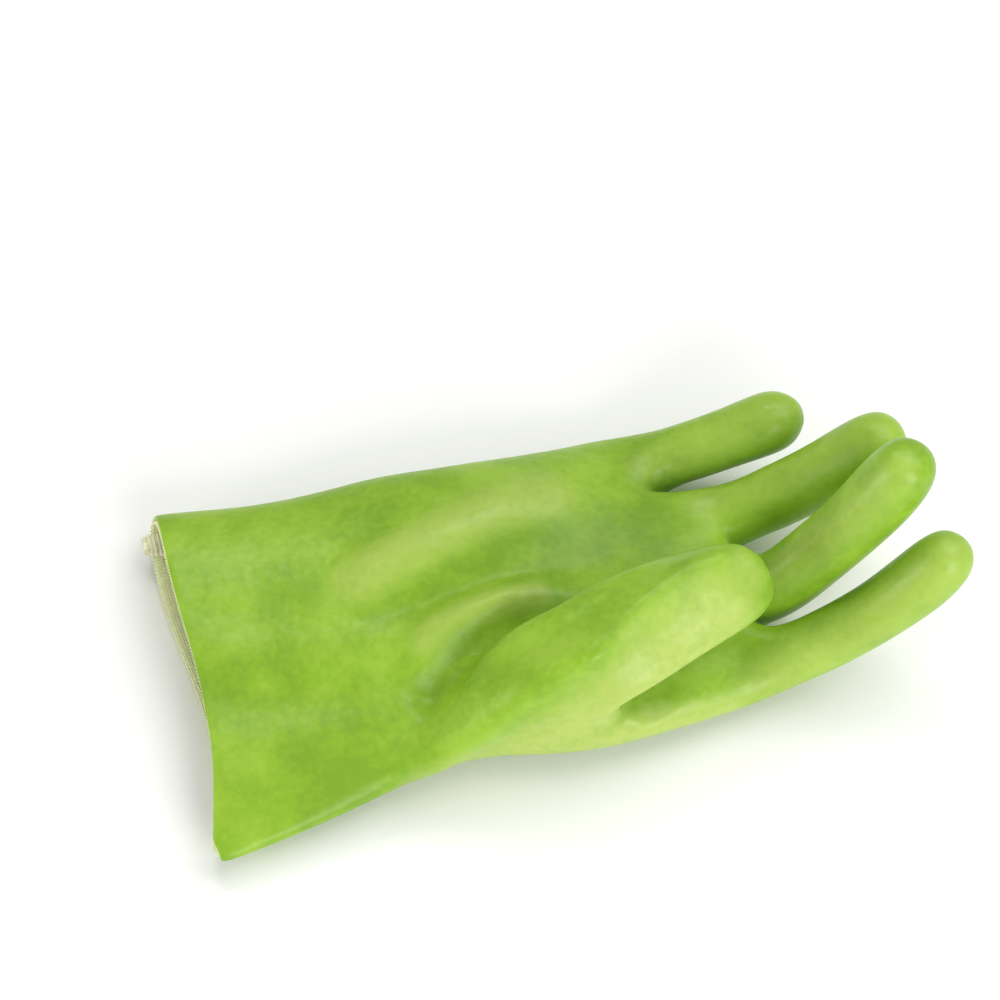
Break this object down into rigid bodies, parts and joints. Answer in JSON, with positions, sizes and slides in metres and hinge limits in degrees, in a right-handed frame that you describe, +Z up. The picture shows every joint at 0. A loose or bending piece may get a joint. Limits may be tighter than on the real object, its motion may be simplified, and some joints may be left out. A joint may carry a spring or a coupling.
{
  "type": "pvc coated work glove",
  "caption": "Right-hand dipped work glove lying palm up, with a bent thumb, relaxed curled fingers, an open gauntlet cuff, a knit lining and a lining seam.",
  "frame": {"origin": "centre of the bounding box on the surface the glove lies on", "axes": "+X from the cuff to the fingertips, +Y towards the little finger, +Z up out of the palm"},
  "size_m": [0.251, 0.1256, 0.0853],
  "materials": {
    "coat": "satin gloss, faintly pebbled",
    "lining": "fine cream knit",
    "seam": "cream seam, slightly frayed at its end"
  },
  "bodies": {
    "root": {"pvc_coat": "coat", "knit_lining": "lining", "lining_seam": "seam"}
  },
  "joints": []
}
